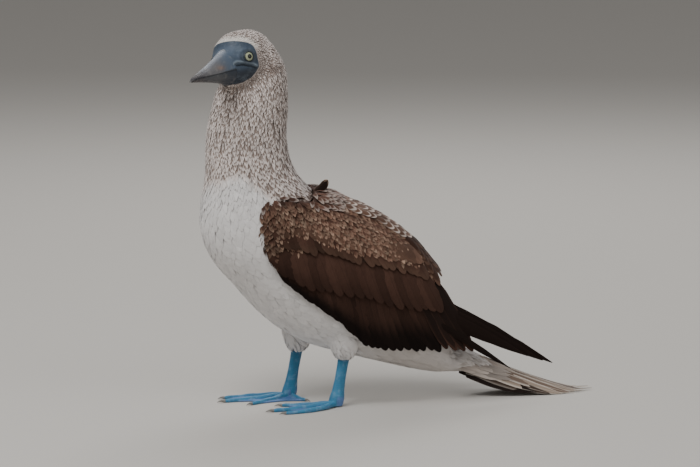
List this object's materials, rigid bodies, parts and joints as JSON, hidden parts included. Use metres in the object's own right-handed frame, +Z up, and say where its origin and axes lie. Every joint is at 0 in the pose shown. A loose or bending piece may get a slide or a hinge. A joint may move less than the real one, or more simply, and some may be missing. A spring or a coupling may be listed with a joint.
{
  "type": "blue footed booby",
  "caption": "Life-size still model of a standing seabird with long tapered bill, folded wings, webbed blue feet and a pointed tail laid on the ground.",
  "frame": {"origin": "centre of the bottom face of the bounding box, on the ground the bird stands on", "axes": "+Z up, the bird faces -X with its left side to -Y and its tail to +X"},
  "size_m": [0.5482, 0.1714, 0.4763],
  "materials": {
    "white_plumage": "soft matt feathering, white with faint grey mottling",
    "streaked_plumage": "soft matt feathering, pale with fine brown streaks",
    "brown_plumage": "smooth overlapping feathers, dull sheen",
    "tail_plumage": "stiff overlapping feathers, dull sheen",
    "slate_horn": "horn with a satin surface",
    "blue_skin": "scaly skin, satin",
    "claw_horn": "pale horn, satin",
    "eye": "wet gloss"
  },
  "bodies": {
    "root": {"torso": "white_plumage", "neck": "streaked_plumage", "head": "streaked_plumage", "bill_upper": "slate_horn", "bill_lower": "slate_horn", "eye_left": "eye", "eye_right": "eye", "wing_left": "brown_plumage", "wing_right": "brown_plumage", "tail": "tail_plumage", "thigh_left": "white_plumage", "thigh_right": "white_plumage", "shank_left": "blue_skin", "shank_right": "blue_skin", "foot_left": "blue_skin", "foot_right": "blue_skin", "claw_left_1": "claw_horn", "claw_left_2": "claw_horn", "claw_left_3": "claw_horn", "claw_left_4": "claw_horn", "claw_right_1": "claw_horn", "claw_right_2": "claw_horn", "claw_right_3": "claw_horn", "claw_right_4": "claw_horn"}
  },
  "joints": []
}
